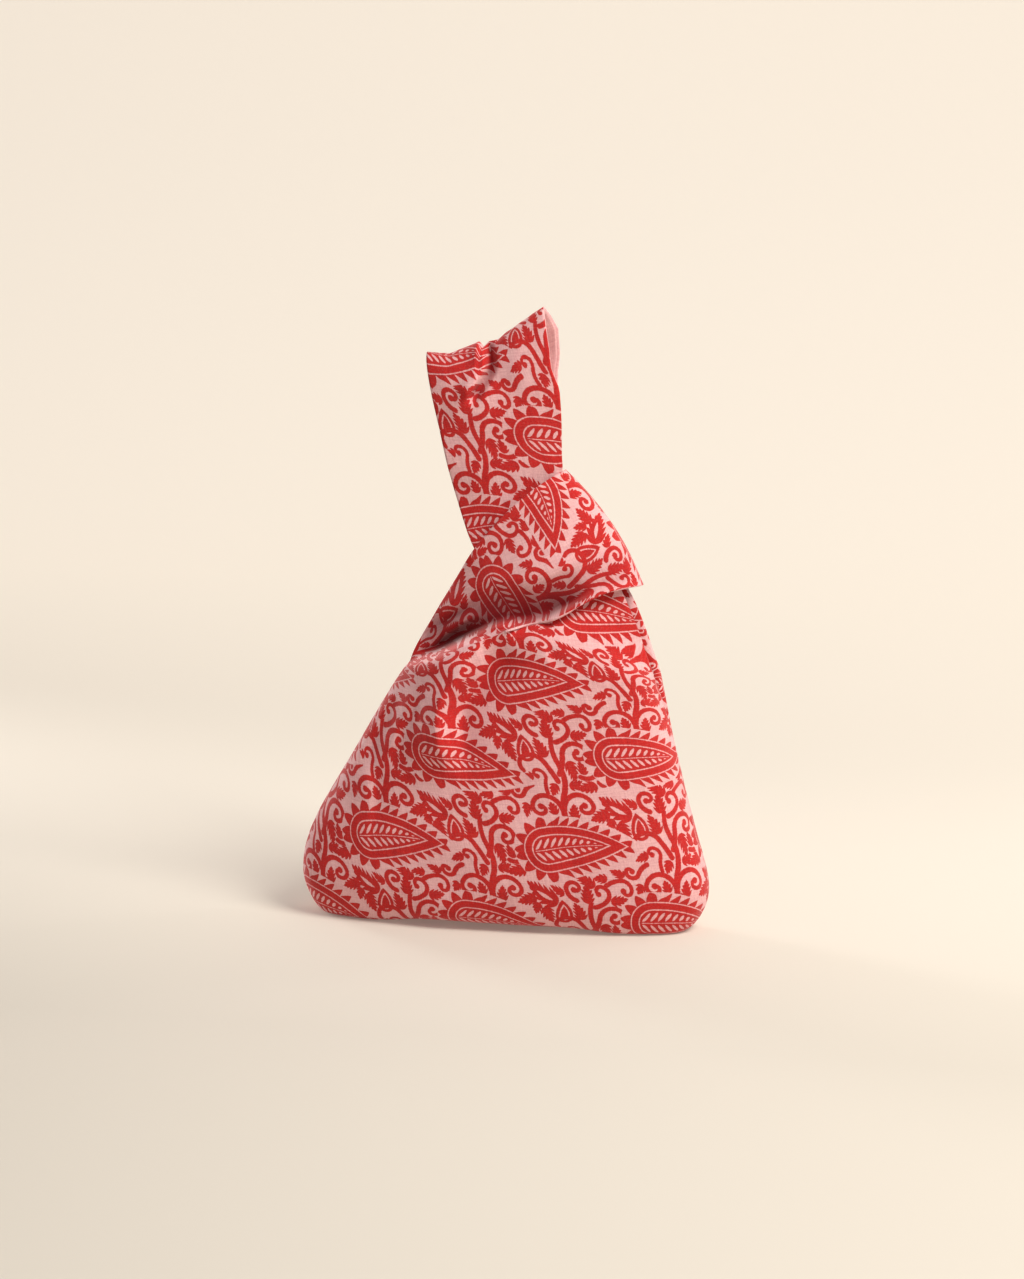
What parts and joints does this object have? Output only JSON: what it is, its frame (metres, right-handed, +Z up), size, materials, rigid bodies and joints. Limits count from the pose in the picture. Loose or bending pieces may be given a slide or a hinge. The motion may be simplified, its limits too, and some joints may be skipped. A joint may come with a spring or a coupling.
{
  "type": "knot bag",
  "caption": "Small soft fabric knot bag standing upright, its long loop drawn up through its short loop to close it.",
  "frame": {"origin": "on the ground, under the middle of the standing bag's width and depth", "axes": "+Z up, -Y out of the bag's front, +X towards the end of the short loop"},
  "size_m": [0.2359, 0.075, 0.3486],
  "materials": {
    "printed_cotton": "matte printed cotton, red leaves on pale pink",
    "plain_lining": "matte plain pale pink cotton"
  },
  "bodies": {
    "root": {"front_panel": "printed_cotton", "back_panel": "printed_cotton", "handle_lining": "plain_lining"}
  },
  "joints": []
}
